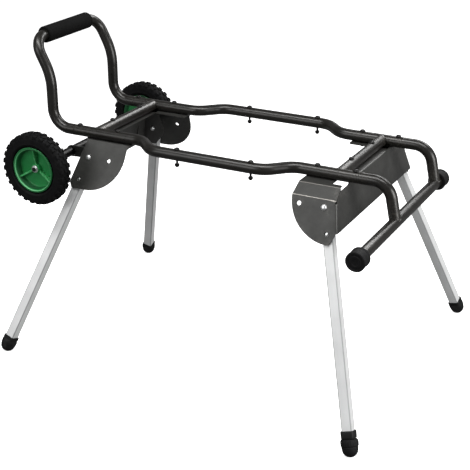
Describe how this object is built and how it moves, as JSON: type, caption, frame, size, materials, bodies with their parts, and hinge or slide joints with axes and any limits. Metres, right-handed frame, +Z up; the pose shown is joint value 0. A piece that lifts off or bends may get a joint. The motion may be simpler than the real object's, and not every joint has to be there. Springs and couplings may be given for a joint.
{
  "type": "folding wheeled saw stand",
  "caption": "Folding wheeled stand for a benchtop saw: bent tube frame with push handle, splayed folding legs, sheet brackets, axle with wheels and a stand-up bar.",
  "frame": {"origin": "floor level under the centre of the overall box", "axes": "+X along the rails from the wheels and handle towards the stand-up bar, +Y across towards the rear side, +Z up"},
  "size_m": [1.1198, 0.9032, 0.8738],
  "materials": {
    "tube_coat": "semi-gloss powder coat",
    "sheet_coat": "satin powder coat",
    "leg_alloy": "clear anodised, satin",
    "zinc": "bright zinc plate",
    "black_bolt": "black oxide",
    "axle_black": "satin black paint",
    "black_plastic": "moulded, fine texture",
    "rubber": "moulded, matt",
    "tyre": "moulded, matt",
    "rim_plastic": "moulded, satin",
    "grip_foam": "foam rubber, matt"
  },
  "bodies": {
    "stand": {"front_rail": "tube_coat", "front_saw_bolt_wheel_end": "black_bolt", "front_saw_bolt_bar_end": "black_bolt", "front_bracket_bolt_wheel_end": "black_bolt", "front_bracket_bolt_bar_end": "black_bolt", "front_handle_bolt": "black_bolt", "front_end_frame_bolt": "black_bolt", "front_crossbar_bolt_wheel_end": "black_bolt", "front_crossbar_bolt_bar_end": "black_bolt", "rear_rail": "tube_coat", "rear_saw_bolt_wheel_end": "black_bolt", "rear_saw_bolt_bar_end": "black_bolt", "rear_bracket_bolt_wheel_end": "black_bolt", "rear_bracket_bolt_bar_end": "black_bolt", "rear_handle_bolt": "black_bolt", "rear_end_frame_bolt": "black_bolt", "rear_crossbar_bolt_wheel_end": "black_bolt", "rear_crossbar_bolt_bar_end": "black_bolt", "wheel_end_crossbar": "tube_coat", "bar_end_crossbar": "tube_coat", "push_handle": "tube_coat", "end_frame": "tube_coat", "wheel_end_bracket": "sheet_coat", "bar_end_bracket": "sheet_coat", "handle_grip": "grip_foam", "front_bar_cap": "rubber", "rear_bar_cap": "rubber", "axle": "axle_black", "wheel_end_front_pivot_bolt": "zinc", "wheel_end_rear_pivot_bolt": "zinc", "bar_end_front_pivot_bolt": "zinc", "bar_end_rear_pivot_bolt": "zinc", "front_push_nut": "zinc", "rear_push_nut": "zinc"},
    "wheel_end_front_leg": {"wheel_end_front_leg": "leg_alloy", "wheel_end_front_foot": "rubber"},
    "wheel_end_front_lock_button": {"wheel_end_front_lock_button": "zinc"},
    "wheel_end_rear_leg": {"wheel_end_rear_leg": "leg_alloy", "wheel_end_rear_foot": "rubber"},
    "wheel_end_rear_lock_button": {"wheel_end_rear_lock_button": "zinc"},
    "levelling_foot": {"bar_end_front_levelling_foot": "rubber"},
    "bar_end_front_leg": {"bar_end_front_leg": "leg_alloy", "bar_end_front_foot_socket": "black_plastic"},
    "bar_end_front_lock_button": {"bar_end_front_lock_button": "zinc"},
    "bar_end_rear_leg": {"bar_end_rear_leg": "leg_alloy", "bar_end_rear_foot": "rubber"},
    "bar_end_rear_lock_button": {"bar_end_rear_lock_button": "zinc"},
    "front_wheel": {"front_wheel_rim": "rim_plastic", "front_wheel_tyre": "tyre"},
    "rear_wheel": {"rear_wheel_rim": "rim_plastic", "rear_wheel_tyre": "tyre"}
  },
  "joints": [
    {"name": "wheel_end_front_leg_fold", "type": "hinge", "parent": "stand", "child": "wheel_end_front_leg", "pos_m": [-0.35238, -0.18799, 0.54771], "axis": [0, -0.9259, 0.3778], "range_deg": [0, 107]},
    {"name": "wheel_end_front_lock_press", "type": "slide", "parent": "wheel_end_front_leg", "child": "wheel_end_front_lock_button", "axis": [0, 0.9259, -0.3778], "range_m": [0, 0.005], "stiffness_N_per_m": 400, "springref_m": -0.003},
    {"name": "wheel_end_rear_leg_fold", "type": "hinge", "parent": "stand", "child": "wheel_end_rear_leg", "pos_m": [-0.35238, 0.18781, 0.54771], "axis": [0, -0.9259, -0.3778], "range_deg": [0, 107]},
    {"name": "wheel_end_rear_lock_press", "type": "slide", "parent": "wheel_end_rear_leg", "child": "wheel_end_rear_lock_button", "axis": [0, -0.9259, -0.3778], "range_m": [0, 0.005], "stiffness_N_per_m": 400, "springref_m": -0.003},
    {"name": "bar_end_front_leg_fold", "type": "hinge", "parent": "stand", "child": "bar_end_front_leg", "pos_m": [0.37412, -0.24848, 0.5546], "axis": [0, 0.9354, -0.3535], "range_deg": [0, 106.35]},
    {"name": "bar_end_front_lock_press", "type": "slide", "parent": "bar_end_front_leg", "child": "bar_end_front_lock_button", "axis": [0, 0.9354, -0.3535], "range_m": [0, 0.005], "stiffness_N_per_m": 400, "springref_m": -0.003},
    {"name": "levelling_foot_screw", "type": "slide", "parent": "bar_end_front_leg", "child": "levelling_foot", "axis": [0.2815, -0.3392, -0.8976], "range_m": [0, 0.02]},
    {"name": "bar_end_rear_leg_fold", "type": "hinge", "parent": "stand", "child": "bar_end_rear_leg", "pos_m": [0.37412, 0.2483, 0.5546], "axis": [0, 0.9354, 0.3535], "range_deg": [0, 106.35]},
    {"name": "bar_end_rear_lock_press", "type": "slide", "parent": "bar_end_rear_leg", "child": "bar_end_rear_lock_button", "axis": [0, -0.9354, -0.3535], "range_m": [0, 0.005], "stiffness_N_per_m": 400, "springref_m": -0.003},
    {"name": "front_wheel_spin", "type": "hinge", "parent": "stand", "child": "front_wheel", "pos_m": [-0.45838, -0.28109, 0.52885], "axis": [0, 1, 0], "continuous": true},
    {"name": "rear_wheel_spin", "type": "hinge", "parent": "stand", "child": "rear_wheel", "pos_m": [-0.45838, 0.28091, 0.52885], "axis": [0, 1, 0], "continuous": true}
  ]
}
